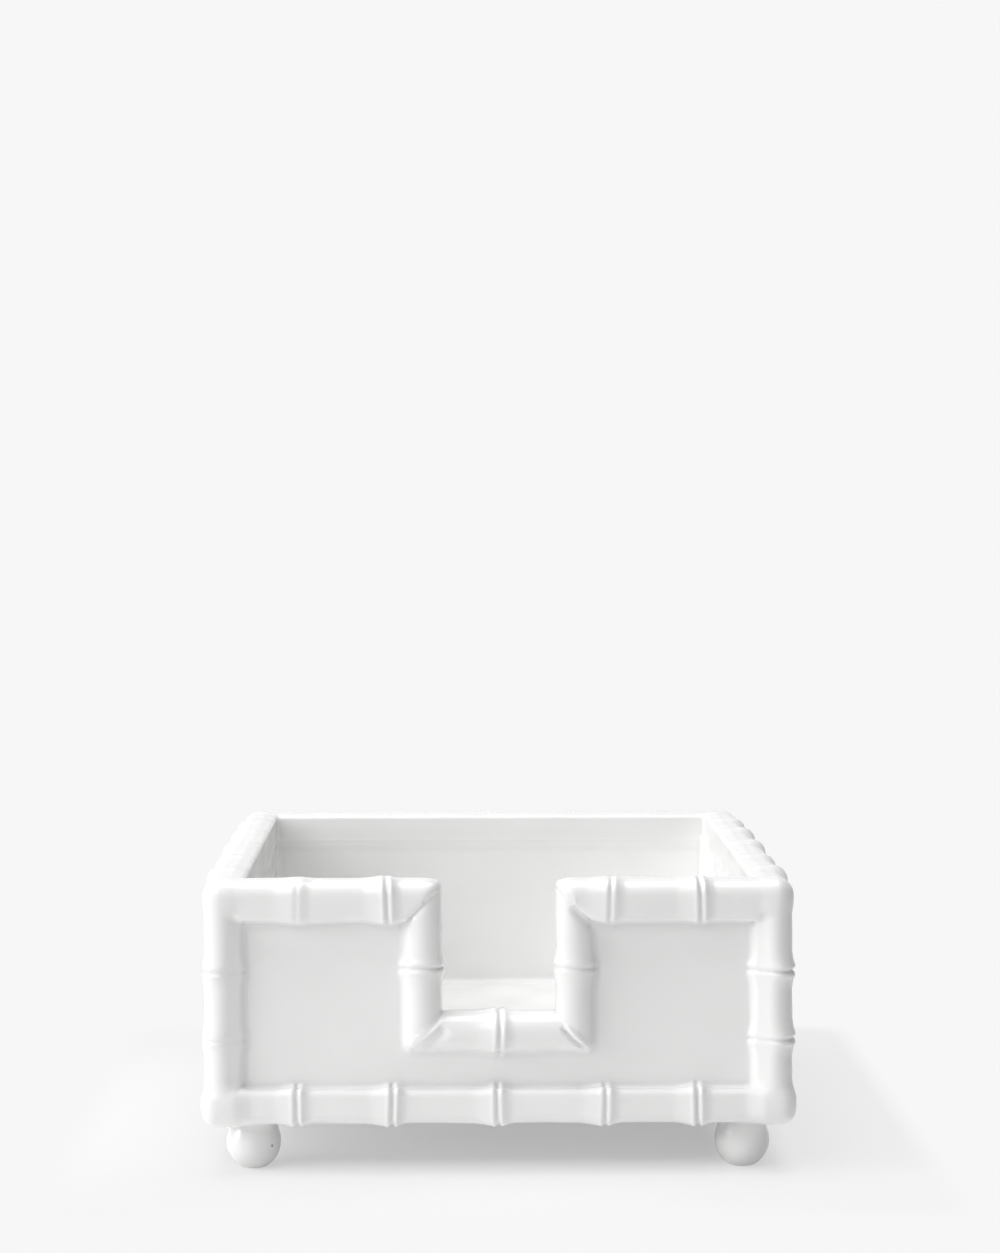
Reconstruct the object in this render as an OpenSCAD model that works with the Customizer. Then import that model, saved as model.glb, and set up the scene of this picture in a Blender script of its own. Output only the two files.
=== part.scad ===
// Square napkin holder in glazed white ceramic, framed in bamboo cane mouldings.
// Flat slabs make the tray, round canes with node rings frame every edge, and
// four ball feet carry it. The front wall has a finger notch with its own frame.
// Millimetres, +Z up, front towards -Y, origin on the table under the centre.

/* [Body] */
// Width across the corner posts
body_w = 155; // [120:1:220]
// Depth across the corner posts
body_d = 155; // [120:1:220]
// Height of the top rails above the table
body_h = 77.3; // [66:0.1:110]

/* [Slabs] */
// Thickness of the four wall slabs
wall_t = 5.8; // [5.1:0.1:7]
// Thickness of the floor slab
floor_t = 6.5; // [5:0.1:8]
// How far the panels lie behind the outer faces of the posts
panel_inset = 4.2; // [3.6:0.1:4.8]
// How far the edges of the walls stop short of the axis of a cane
edge_short = 2.8; // [2.4:0.1:3.2]

/* [Canes] */
// Radius of the top rails between their nodes
top_r = 5.4; // [5:0.1:5.9]
// Radius of the bottom rails between their nodes
low_r = 4.9; // [4.6:0.1:5.4]
// Radius of the corner posts between their nodes
post_r = 5.3; // [5:0.1:5.7]
// Radius of the canes round the notch, between their nodes
notch_r = 5; // [4.6:0.1:5.4]
// How far a node swells beyond its cane
node_rise = 0.7; // [0.3:0.05:1]
// Length of a node's swelling, from one end to the other
node_len = 14; // [8:0.5:16]
// Width of the ring groove in the middle of a node
groove_w = 1.5; // [0.8:0.1:2]
// Depth of the ring groove
groove_d = 0.5; // [0.2:0.05:0.8]
// How far the flat inner sides of the rim's canes stand out from the walls
flat_proud = 0.3; // [0.1:0.05:0.5]
// Radius of the inner edge of the rim
flat_edge_r = 1.3; // [0.8:0.1:2]
// How far the ball ends of the canes stand out at the top corners
top_knob = 0.2; // [0.1:0.05:0.6]
// How far the ball ends of the canes stand out at the bottom corners
low_knob = 0.8; // [0.2:0.05:1]

/* [Notch] */
// Width of the notch, between the axes of its two stiles
notch_w = 40; // [30:1:50]
// Height of the axis of the notch's sill above the table
sill_z = 37; // [34:0.5:42]
// Radius of the outer corners of the notch's frame
notch_corner_r = 2.2; // [1:0.1:3]

/* [Feet] */
// Gap between the table and the underside of the bottom rails
rail_lift = 13.4; // [11:0.1:16]
// Radius of the ball of a foot
foot_r = 7.3; // [6.4:0.1:7.6]
// Radius of the neck of a foot
neck_r = 7.1; // [6:0.1:7.2]
// Radius of the flat under a foot
foot_flat_r = 2.8; // [2:0.1:4]
// Distance of a foot's centre from the outer faces of the posts
foot_inset = 12.6; // [12:0.1:15]
// Clearance between a foot and the rails above it
foot_gap = 0.2; // [0.1:0.05:0.4]

/* [Hidden] */
$fn = 96;
// Places of the nodes, as shares of the stretch that each table names
long_rail_shares = [-0.73, -0.39, 0, 0.385, 0.725];
short_rail_shares = [0.73, 0.41];
post_shares = [0.32, 0.655];
stile_shares = [0.49];
sill_shares = [0];
// Steps in one half of a node's swelling
bell_steps = 4;

// Axes of the canes
axis_x = body_w / 2 - post_r;
axis_y = body_d / 2 - post_r;
top_z = body_h - top_r;
low_z = rail_lift + low_r;
stile_x = notch_w / 2;

// Faces of the slabs
slab_x = body_w / 2 - panel_inset;
slab_y = body_d / 2 - panel_inset;
inner_x = slab_x - wall_t;
inner_y = slab_y - wall_t;
ledge_drop = 0.3;
base_z = low_z - ledge_drop;
wall_top_z = top_z - edge_short;
// Distance of the rim's flat inner side from the axis of its cane
rim_flat = panel_inset + wall_t - post_r + flat_proud;

// Room past a surface for cuts, and how far the mitre cuts reach from an axis
over = 2;
reach = top_r + node_rise + over;

glaze = [0.95, 0.95, 0.94];

// Shares of a half stretch, turned into places along a cane that starts at its end
function from_middle(shares, len) = [for (s = shares) len / 2 + s * len / 2];
function from_start(shares, len) = [for (s = shares) s * len];

// Outline of one node: a swelling that rises and falls as a cosine, with a ring groove
function bell(t) = (1 + cos(180 * t)) / 2;
function node_points(at, r) = concat(
  [for (i = [bell_steps : -1 : 1])
    [r + node_rise * bell(i / bell_steps), at - groove_w / 2 - (node_len - groove_w) / 2 * i / bell_steps]],
  [[r + node_rise, at - groove_w / 2]],
  [[r + node_rise - groove_d, at]],
  [[r + node_rise, at + groove_w / 2]],
  [for (i = [1 : bell_steps])
    [r + node_rise * bell(i / bell_steps), at + groove_w / 2 + (node_len - groove_w) / 2 * i / bell_steps]]
);

// Round bar with nodes, lying along +X from start to stop
module bar(r, places, start, stop) {
  rotate([0, 90, 0])
    rotate_extrude()
      polygon(concat(
        [[0, start], [r, start]],
        [for (at = places) each node_points(at, r)],
        [[r, stop], [0, stop]]
      ));
}

// Section of the rim's flat inner side, from the free side of a cane down to the wall's
// edge. Its X points into the tray and its Y away from the free side.
module flat_section(r) {
  translate([0, -r]) {
    square([rim_flat - flat_edge_r, r + edge_short]);
    translate([0, flat_edge_r]) square([rim_flat, r + edge_short - flat_edge_r]);
    translate([rim_flat - flat_edge_r, flat_edge_r]) circle(r = flat_edge_r);
  }
}

// Section of the room of a rim's cane, with nothing beyond its flat side or over the wall
module rim_section() {
  polygon([
    [-reach, -reach], [rim_flat, -reach], [rim_flat, edge_short],
    [0, edge_short], [0, reach], [-reach, reach]
  ]);
}

// Cane of the rim, lying along +X: a bar with a flat side towards +Y and its free side towards -Z
module rim_bar(r, places, start, stop) {
  intersection() {
    union() {
      bar(r, places, start, stop);
      translate([start, 0, 0])
        rotate([90, 0, 90])
          linear_extrude(height = stop - start)
            flat_section(r);
    }
    translate([start - over, 0, 0])
      rotate([90, 0, 90])
        linear_extrude(height = stop - start + 2 * over)
          rim_section();
  }
}

// Room that a cane keeps between its two mitres, in the plane of X and Y. A side of
// 1 or -1 says where the next cane turns off at that end, and 0 leaves the end free.
function mitre_x(side, y) = side == 0 ? -reach : side * y;
module mitre_room(len, side_a, side_b) {
  linear_extrude(height = 2 * reach, center = true)
    polygon([
      [mitre_x(side_a, -reach), -reach],
      [mitre_x(side_a, reach), reach],
      [len - mitre_x(side_b, reach), reach],
      [len - mitre_x(side_b, -reach), -reach]
    ]);
}

// Room between three-way mitres, with one end left free in the plane of X and Y for an elbow
module corner_room(len, side_b) {
  intersection() {
    mitre_room(len, 1, side_b);
    rotate([90, 0, 0]) mitre_room(len, 1, 1);
  }
}

// Cane along +X between two box corners, with ball ends, as a part of the rim or as a plain bar
module corner_cane(len, r, places, knob_a, knob_b, rim) {
  intersection() {
    union() {
      if (rim) rim_bar(r, places, 0, len);
      else bar(r, places, 0, len);
      sphere(r = knob_a);
      translate([len, 0, 0]) sphere(r = knob_b);
    }
    corner_room(len, 1);
  }
}

// Cane along +X from a box corner, with a ball end, to an elbow of the notch's frame
module elbow_cane(len, r, places, knob) {
  intersection() {
    union() {
      rim_bar(r, places, 0, len + reach);
      sphere(r = knob);
    }
    corner_room(len, 0);
  }
}

// Cane along +X between two elbows, with its flat side towards -Z and its free side towards +Y.
// The sides say where the next canes turn off.
module notch_cane(len, r, places, side_a, side_b) {
  intersection() {
    mirror([0, 1, 1]) rim_bar(r, places, -reach, len + reach);
    mitre_room(len, side_a, side_b);
  }
}

// Wall slabs and floor slab, each standing on the level of the floor's underside
module long_wall() {
  translate([-slab_x, -slab_y, base_z])
    cube([2 * slab_x, wall_t, wall_top_z - base_z]);
}

module notched_wall() {
  edge_x = stile_x + edge_short;
  edge_z = sill_z - edge_short;
  difference() {
    long_wall();
    translate([-edge_x, -slab_y - over, edge_z])
      cube([2 * edge_x, wall_t + 2 * over, wall_top_z - edge_z + over]);
  }
}

module side_wall() {
  translate([-slab_x, -inner_y, base_z])
    cube([wall_t, 2 * inner_y, wall_top_z - base_z]);
}

module floor_plate() {
  translate([-inner_x, -inner_y, base_z])
    cube([2 * inner_x, 2 * inner_y, floor_t]);
}

// The tray of slabs, which the canes are let in to receive
module tray() {
  notched_wall();
  mirror([0, 1, 0]) long_wall();
  side_wall();
  mirror([1, 0, 0]) side_wall();
  floor_plate();
}

// Rounds the outer corners of the notch's frame, seen from the front
module corner_rounder(x, z, turn) {
  translate([x, -axis_y, z])
    rotate([90, turn, 0])
      difference() {
        translate([-notch_corner_r, -notch_corner_r, -reach])
          cube([notch_corner_r + over, notch_corner_r + over, 2 * reach]);
        translate([-notch_corner_r, -notch_corner_r, -reach - over])
          cylinder(r = notch_corner_r, h = 2 * reach + 2 * over);
      }
}

module notch_rounders() {
  for (flip = [0, 1])
    mirror([flip, 0, 0]) {
      corner_rounder(-stile_x + notch_r, body_h, 0);
      corner_rounder(-stile_x - notch_r, sill_z - notch_r, 180);
    }
}

// Each kind of cane in place, at the front or left side of the tray
module front_top_half() {
  translate([-axis_x, -axis_y, top_z])
    mirror([0, 0, 1])
      elbow_cane(axis_x - stile_x, top_r, [for (s = short_rail_shares) axis_x * (1 - s)], top_r + top_knob);
}

module rail_x(z, r, knob, rim) {
  translate([-axis_x, -axis_y, z])
    mirror([0, 0, rim ? 1 : 0])
      corner_cane(2 * axis_x, r, from_middle(long_rail_shares, 2 * axis_x), r + knob, r + knob, rim);
}

module rail_y(z, r, knob, rim) {
  translate([-axis_x, -axis_y, z])
    mirror([0, 0, rim ? 1 : 0])
      mirror([1, -1, 0])
        corner_cane(2 * axis_y, r, from_middle(long_rail_shares, 2 * axis_y), r + knob, r + knob, rim);
}

module post() {
  len = top_z - low_z;
  translate([-axis_x, -axis_y, low_z])
    mirror([1, 0, -1])
      corner_cane(len, post_r, from_start(post_shares, len), low_r + low_knob, top_r + top_knob, false);
}

module stile() {
  len = top_z - sill_z;
  translate([-stile_x, -axis_y, sill_z])
    mirror([1, 0, -1])
      rotate([90, 0, 0])
        notch_cane(len, notch_r, from_start(stile_shares, len), 1, -1);
}

module sill() {
  translate([-stile_x, -axis_y, sill_z])
    rotate([90, 0, 0])
      notch_cane(2 * stile_x, notch_r, from_middle(sill_shares, 2 * stile_x), 1, 1);
}

// Foot: a ball with a flat, and a neck up to the floor slab that clears the rails
module foot() {
  ball_z = sqrt(foot_r * foot_r - foot_flat_r * foot_flat_r);
  foot_x = body_w / 2 - foot_inset;
  foot_y = body_d / 2 - foot_inset;
  relief_r = low_r + foot_gap;
  difference() {
    translate([-foot_x, -foot_y, 0]) {
      intersection() {
        translate([0, 0, ball_z]) sphere(r = foot_r);
        cylinder(r = foot_r + over, h = 2 * foot_r);
      }
      translate([0, 0, ball_z]) cylinder(r = neck_r, h = base_z - ball_z);
    }
    translate([-axis_x, -axis_y, low_z]) {
      rotate([0, 90, 0]) cylinder(r = relief_r, h = axis_x);
      rotate([-90, 0, 0]) cylinder(r = relief_r, h = axis_y);
      sphere(r = relief_r + low_knob);
    }
  }
}

// A cane as it is made, with the seats of the slabs taken out of it
module let_in() {
  difference() {
    children();
    tray();
  }
}

module let_in_rounded() {
  difference() {
    children();
    tray();
    notch_rounders();
  }
}

module floor_slab() color(glaze) floor_plate();
module front_wall() color(glaze) notched_wall();
module back_wall() color(glaze) mirror([0, 1, 0]) long_wall();
module left_wall() color(glaze) side_wall();
module right_wall() color(glaze) mirror([1, 0, 0]) side_wall();

module top_rail_front_left() color(glaze) let_in_rounded() front_top_half();
module top_rail_front_right() color(glaze) let_in_rounded() mirror([1, 0, 0]) front_top_half();
module top_rail_back() color(glaze) let_in() mirror([0, 1, 0]) rail_x(top_z, top_r, top_knob, true);
module top_rail_left() color(glaze) let_in() rail_y(top_z, top_r, top_knob, true);
module top_rail_right() color(glaze) let_in() mirror([1, 0, 0]) rail_y(top_z, top_r, top_knob, true);

module bottom_rail_front() color(glaze) let_in() rail_x(low_z, low_r, low_knob, false);
module bottom_rail_back() color(glaze) let_in() mirror([0, 1, 0]) rail_x(low_z, low_r, low_knob, false);
module bottom_rail_left() color(glaze) let_in() rail_y(low_z, low_r, low_knob, false);
module bottom_rail_right() color(glaze) let_in() mirror([1, 0, 0]) rail_y(low_z, low_r, low_knob, false);

module corner_post_front_left() color(glaze) let_in() post();
module corner_post_front_right() color(glaze) let_in() mirror([1, 0, 0]) post();
module corner_post_back_left() color(glaze) let_in() mirror([0, 1, 0]) post();
module corner_post_back_right() color(glaze) let_in() mirror([1, 0, 0]) mirror([0, 1, 0]) post();

module notch_stile_left() color(glaze) let_in_rounded() stile();
module notch_stile_right() color(glaze) let_in_rounded() mirror([1, 0, 0]) stile();
module notch_sill() color(glaze) let_in_rounded() sill();

module ball_foot_front_left() color(glaze) foot();
module ball_foot_front_right() color(glaze) mirror([1, 0, 0]) foot();
module ball_foot_back_left() color(glaze) mirror([0, 1, 0]) foot();
module ball_foot_back_right() color(glaze) mirror([1, 0, 0]) mirror([0, 1, 0]) foot();

floor_slab();
front_wall();
back_wall();
left_wall();
right_wall();
top_rail_front_left();
top_rail_front_right();
top_rail_back();
top_rail_left();
top_rail_right();
bottom_rail_front();
bottom_rail_back();
bottom_rail_left();
bottom_rail_right();
corner_post_front_left();
corner_post_front_right();
corner_post_back_left();
corner_post_back_right();
notch_stile_left();
notch_stile_right();
notch_sill();
ball_foot_front_left();
ball_foot_front_right();
ball_foot_back_left();
ball_foot_back_right();
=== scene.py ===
import math

import bmesh
import bpy
import numpy as np
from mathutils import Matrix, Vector


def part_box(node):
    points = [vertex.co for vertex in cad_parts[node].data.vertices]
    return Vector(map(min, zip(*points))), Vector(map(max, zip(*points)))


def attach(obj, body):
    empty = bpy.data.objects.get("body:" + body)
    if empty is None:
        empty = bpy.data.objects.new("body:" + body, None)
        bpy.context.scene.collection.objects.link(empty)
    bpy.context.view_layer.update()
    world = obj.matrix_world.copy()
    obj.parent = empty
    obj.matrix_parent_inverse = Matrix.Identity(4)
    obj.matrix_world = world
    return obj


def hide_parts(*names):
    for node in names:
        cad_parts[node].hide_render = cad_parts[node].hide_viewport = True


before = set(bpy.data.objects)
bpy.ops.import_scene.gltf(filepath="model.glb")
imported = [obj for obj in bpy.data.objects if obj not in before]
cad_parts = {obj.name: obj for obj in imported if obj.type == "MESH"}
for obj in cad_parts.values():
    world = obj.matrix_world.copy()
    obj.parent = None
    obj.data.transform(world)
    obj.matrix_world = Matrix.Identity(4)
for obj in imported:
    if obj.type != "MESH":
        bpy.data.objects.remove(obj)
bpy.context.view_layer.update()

# Lengths are in millimetres up to the meshes, which are in metres
MM = 0.001
DIAGONAL = math.sqrt(2)


def box_of(node):
    """Corners of a node's box in the frame, in millimetres."""
    return tuple(np.array(corner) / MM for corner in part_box(node))


# Sizes of the part, as it is built
BODY_W = 155.0
BODY_H = 77.3
TOP_R = 5.4
LOW_R = 4.9
POST_R = 5.3
NOTCH_R = 5.0
NODE_RISE = 0.7
RAIL_LIFT = 13.4
NOTCH_W = 40.0
SILL_Z = 37.0
FOOT_R = 7.3
NECK_R = 7.1
FOOT_FLAT_R = 2.8
FOOT_INSET = 12.6
LONG_RAIL_SHARES = (-0.73, -0.39, 0.0, 0.385, 0.725)
SHORT_RAIL_SHARES = (0.73, 0.41)
POST_SHARES = (0.32, 0.655)
STILE_SHARES = (0.49,)
SILL_SHARES = (0.0,)

# Axes of the canes
AXIS = BODY_W / 2 - POST_R
TOP_Z = BODY_H - TOP_R
LOW_Z = RAIL_LIFT + LOW_R
STILE_X = NOTCH_W / 2

# Slabs, and their faces as the frame holds them
SLAB_NAMES = ("floor_slab", "front_wall", "back_wall", "left_wall", "right_wall")
SLABS = {node: box_of(node) for node in SLAB_NAMES}
wall_lo, wall_hi = SLABS["front_wall"]
SLAB = -wall_lo[1]
INNER = -wall_hi[1]
BASE_Z = wall_lo[2]
WALL_TOP = wall_hi[2]
FLOOR_TOP = SLABS["floor_slab"][1][2]
EDGE_SHORT = TOP_Z - WALL_TOP

# Feet and their places
FOOT_AT = BODY_W / 2 - FOOT_INSET
FEET = {
    "ball_foot_" + end + "_" + word: (x * FOOT_AT, y * FOOT_AT)
    for y, end in ((-1, "front"), (1, "back"))
    for x, word in ((-1, "left"), (1, "right"))
}

# Softness of the glazed joints: how far a blend reaches from a crease
CANE_BLEND = 1.5
SLAB_BLEND = 2.6
MITRE_BLEND = 0.6
CORNER_BLEND = 1.0
LIP_BLEND = 1.0
KNOB_BLEND = 4.0
FOOT_BLEND = 1.3
NECK_BLEND = 1.0
SOLE_BLEND = 0.5
SLIP_BLEND = 1.0

# How far the notch's canes and the rails reach into each other at their mitres
MITRE_LAP = 0.8
# Roundness of the outer corners of the notch's frame: 2 for a ball, more for a sharper corner
ELBOW_POWER = 3.5
# How square the sections of the notch's canes are, from 0 for round
NOTCH_SQUARE = 0.15
# Radii of the edges of the rails' sections, towards the free side and towards the panel
TOP_EDGES = (4.6, 2.0)
LOW_EDGES = (2.8, 1.8)
# The rails' edges are all as round as their rounder one within this reach of a corner
CORNER_REACH = 5.0
# How far the flat top of a bottom rail lies below a round one
LOW_TOP = 0.8
# How much the outer face of a top rail leans inwards on its way down
RAIL_LEAN = 0.12
# How far the crown of a top rail stands over its flat inner side
CROWN = 0.35
# Flat inner side of the rails at the rim and of the notch's canes: how far it stands out from the wall's
# inner face, how far in and how far down it goes, and the radius of its edge
LIP_OVER = 0.3
LIP = AXIS - INNER + LIP_OVER
LIP_DOWN = EDGE_SHORT
LIP_EDGE = 1.3
# A corner post has one outer crest, and its faces slope in from it to their inner edges
CREST_R = 4.6
FACE_SLOPE = math.radians(28)
INNER_EDGE = 1.5
# A corner post narrows to the bottom rails over this length
POST_FOOT = 8.0
# Blunt ends of the canes at the bottom corners
KNOB_EDGE = 3.6
KNOB_OUT = 0.3

# Ring of a node: how far its swelling reaches, its groove and the ridges beside it
SWELL_REACH = 5.6
GROOVE_DEPTH, GROOVE_WIDTH = 0.52, 0.55
RIDGE_RISE, RIDGE_AT, RIDGE_WIDTH = 0.20, 1.25, 0.7
# How much shorter its flank towards the right is than the middle of the two
SWELL_LEAN = 0.25
# Share of its height that a swelling keeps where glaze fills its ring
SWELL_LEAST_SHARE = 0.6
# Each ring slopes a little: by how much at most, the share that it slopes the other way across, and how
# fast the slope goes up and down from node to node and with the length of the cane
RING_SLOPE = 0.06
SLOPE_ACROSS_SHARE = 0.5
SLOPE_BY_NODE, SLOPE_BY_LENGTH = 2.7, 1.3
# The nodes of a top rail fade out towards the tray: where, and over what length, in shares of its radius,
# and on the back rail how far the line of the fade leans
FADE_AT_SHARE, FADE_LONG_SHARE = 0.55, 1.2
FADE_LEAN = 0.3
# How fast its crown turns into its outer face, and what share of a groove's depth and, on the side and
# back rails, of a whole ring is left on the crown
OUTER_RATE = 1.3
CROWN_CUT_SHARE = 0.4
CROWN_RING_SHARE = 0.15
# How sharply each node of a cane is cut, from 0 to 1: the glaze has filled some
MARKS = {
    "top_rail_front_left": (0.15, 0.9),
    "top_rail_front_right": (0.7, 0.45),
    "bottom_rail_front": (0.9, 1.0, 0.8, 0.7, 1.0),
    "corner_post_front_left": (0.5, 0.55),
    "corner_post_front_right": (0.9, 1.0),
    "notch_stile_left": (0.95,),
    "notch_stile_right": (0.75,),
    "notch_sill": (1.0,),
}
HIDDEN_MARKS = (0.8, 0.55, 0.95)

# Marks along the mitres of the notch's frame: their stretch, then for each the depth, or height
# if negative, its place across the mitre towards the rail or the sill, and its width
ELBOW_MARKS = {
    (-1, "top"): ((-4.5, 8.0), ((0.4, -0.7, 0.9),)),
    (1, "top"): ((0.0, 9.5), ((0.75, -1.8, 1.3),)),
    (-1, "low"): ((-6.0, 3.0), ((-0.3, 1.3, 0.6), (0.6, 3.4, 1.3))),
    (1, "low"): ((-4.0, 5.2), ((-0.35, 0.0, 0.6), (1.0, 1.3, 0.6))),
}
# How far each of these marks fades in and out at its ends, and how far behind the axes they end
ELBOW_FADE = 2.0
ELBOW_BEHIND = 1.5
# How much thinner the neck of a foot is than its solid's, and how far under the floor's top it ends
NECK_THIN = 0.9
NECK_SUNK = 1.0
# A drop of slip dried on one foot: its centre and radius
SLIP_DROP = (61.7, -69.6, 10.4)
SLIP_DROP_R = 1.5
# Slow waves of the clay, the product of two: their height, and for each its radians per millimetre along
# x or y and along z and its start. They set in over this height above the table
WAVE_RISE = 0.13
WAVE_X = (0.21, 0.13, 0.7)
WAVE_Y = (0.17, -0.19, 1.9)
WAVE_START = 4.0

# Room of a cane's piece about its axis, and of the mitre cuts
BAND = 7.6
FAR = 14.0
# Reach of the cutters past the piece they cut
FAR_DOWN = 1.1 * FAR
FAR_OUT = 3 * FAR
# Heart of a cane, which no neighbour takes, and how much thinner than a rail the round heart is that a
# foot leaves to it
HEART = 2.0
HEART_THIN = 1.0
# Room of a foot's piece: how far around its ball and under the table, and the sides of its column
FOOT_ROOM = 2.0
UNDER = 1.0
FOOT_SIDES = 40
# Thickness of the skins over the slabs' faces, and how near a vertex lies to the glaze's surface
SKIN = 2.0
SKIN_TOLERANCE = 0.06
# Cosine from which a face counts as facing the way the surface does
FACING = 0.5
# Specks of fewer vertices than this aren't kept
CRUMB = 20
# Steps of a mesh from its window's side to the cut through the holder, to the vertices that are drawn
# onto the surface, and to the piece's room
CUT_STEPS, FREE_STEPS, ROOM_STEPS = 1.5, 2.5, 4
# How often these vertices are drawn, and the least squared slope that this is worked out with
DRAWS = 2
LEAST_SLOPE = 0.25
GRADIENT_STEP = 0.05
# Keeps a division from being by zero
TINY = 1e-6
# Name of the mark for shade painted into the glaze's hollows, how far it feels for a hollow, and a full
# one's bend per millimetre
CREASE_SHADE_MARK = "painted_crease_shade"
SHADE_REACH = 0.7
SHADE_FULL = 1.2
CANE_STEP, SLAB_STEP = ((0.5, 1.25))
# Corners of a box that holds the whole holder
BODY_ROOM = 2.0
BODY_LO = np.array((-BODY_W / 2 - BODY_ROOM, -BODY_W / 2 - BODY_ROOM, -UNDER))
BODY_HI = np.array((BODY_W / 2 + BODY_ROOM, BODY_W / 2 + BODY_ROOM, BODY_H + BODY_ROOM))

# The photograph's viewpoint, in metres and degrees
CAMERA_AT = (-0.0123, -0.7972, 0.1822)
CAMERA_SHIFT = -0.1458
CAMERA_TURN = 1.0
CAMERA_LEVEL = 90.0
CAMERA_LENS = 99.0
CAMERA_SENSOR = 36.0
# Lamps: place, width and height in metres, and watts. All are turned to the middle of the holder
LAMP_AIM = (0.0, 0.0, 0.04)
LAMPS = {
    "key": ((-1.6, -0.45, 0.72), (0.9, 0.9), 17.0),
    "front_left": ((-0.9, -1.3, 1.1), (1.2, 1.0), 8.3),
    "overhead": ((-0.1, 0.0, 1.2), (1.0, 1.0), 11.0),
    "front": ((-0.1, -0.75, 1.0), (1.5, 0.9), 0.9),
}
# Colours of the glaze, the greyer one being shade painted into its hollows and creases, and where the kiln
# speck lies
GLAZE_WHITE = (0.92, 0.92, 0.916, 1.0)
GLAZE_THIN = (0.905, 0.905, 0.90, 1.0)
GLAZE_CREASE_SHADE = (0.85, 0.85, 0.85, 1.0)
SPECK_TONE = (0.05, 0.045, 0.04, 1.0)
KILN_SPECK = (-59.7, -70.0, 6.6)
SPECK_INNER, SPECK_OUTER = 0.2, 0.5
# Noises of the glaze: how many fit in a metre, and their detail
CLOUD = (45.0, 3.0)
RAGGED = (2500.0, 2.0)
PATCHES = (60.0, 1.0)
PEEL = (420.0, 2.0)
RIPPLE = (50.0, 1.0)
# The part of a noise that is spread over a range, and the ragged edge of the speck
NOISE_LOW, NOISE_HIGH = 0.35, 0.65
RAGGED_HIGH, RAGGED_LEAST = 0.6, 0.3
# Sheen of the glaze, and the strength and height of its two reliefs
ROUGH_LOW, ROUGH_HIGH = 0.13, 0.15
GLAZE_IOR = 1.5
RIPPLE_STRENGTH, RIPPLE_HEIGHT = 0.02, 0.6
PEEL_STRENGTH, PEEL_HEIGHT = 0.01, 0.1
# Colours of the floor on the left and on the right, and how far from the middle it has each. The left, on
# the lamps' side, is painted darker to even out their stronger light there
FLOOR_SHADED_LEFT = (0.80, 0.80, 0.80, 1.0)
FLOOR_RIGHT = (0.88, 0.88, 0.88, 1.0)
FLOOR_TURN = 200.0
# Colours of the light that the floor throws back, of the background and of the light from all round
FLOOR_BOUNCE = (0.98, 0.98, 0.98, 1.0)
BACKGROUND = (0.93, 0.93, 0.93, 1.0)
AMBIENT = (0.005, 0.005, 0.005, 1.0)
# Width of the floor in metres, its panes, and where it turns into the background
FLOOR_SIZE = 6.0
FLOOR_PANES = 8
FLOOR_NEAR, FLOOR_FAR = 88.0, 120.0
# How much of the plain background's glow shows through the shadow under the tray and beside it: painted
# light that lightens the cast shadow, less under the tray than beside it
SHADOW_UNDER, SHADOW_BESIDE = 0.41, 0.76
FOOTPRINT_IN, FOOTPRINT_OUT, FOOTPRINT_SOFT = 58.0, 80.0, 15.0


def ramp(x):
    """x, held between 0 and 1."""
    return np.clip(x, 0.0, 1.0)


def bump(x):
    """A smooth bell of height 1 about 0."""
    return np.exp(-(x**2))


def soft_min(a, b, k):
    """Union of two distances with a fillet that reaches k from the crease."""
    h = np.maximum(k - np.abs(a - b), 0.0) / k
    return np.minimum(a, b) - h * h * k / 4


def soft_max(a, b, k):
    return -soft_min(-a, -b, k)


def round_max(a, b, radius):
    """Intersection of two distances with an edge of the given radius."""
    outside = np.hypot(np.maximum(a + radius, 0.0), np.maximum(b + radius, 0.0))
    return outside + np.minimum(np.maximum(a, b), -radius)


def rounded_box(offsets, halves, edge):
    """Distance to a box with rounded edges, from the offsets of points from its centre."""
    q = [np.abs(x) - half + edge for x, half in zip(offsets, halves)]
    outside = np.sqrt(sum(np.maximum(c, 0.0) ** 2 for c in q))
    return outside + np.minimum(np.maximum(np.maximum(q[0], q[1]), q[2]), 0.0) - edge


def box_distance(p, lo, hi):
    offsets = [p[i] - (lo[i] + hi[i]) / 2 for i in range(3)]
    return rounded_box(offsets, [(hi[i] - lo[i]) / 2 for i in range(3)], 0.0)


def ball_distance(p, centre, radius):
    x, y, z = (p[i] - centre[i] for i in range(3))
    return np.sqrt(x**2 + y**2 + z**2) - radius


def squarish(a, b, c, share):
    """Length of (a, b, c), drawn by its share towards a squarer shape than a ball."""
    round_length = np.sqrt(a * a + b * b + c * c)
    square_length = np.sqrt(np.sqrt((a * a) ** 2 + (b * b) ** 2 + (c * c) ** 2))
    return (1 - share) * round_length + share * square_length


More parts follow.
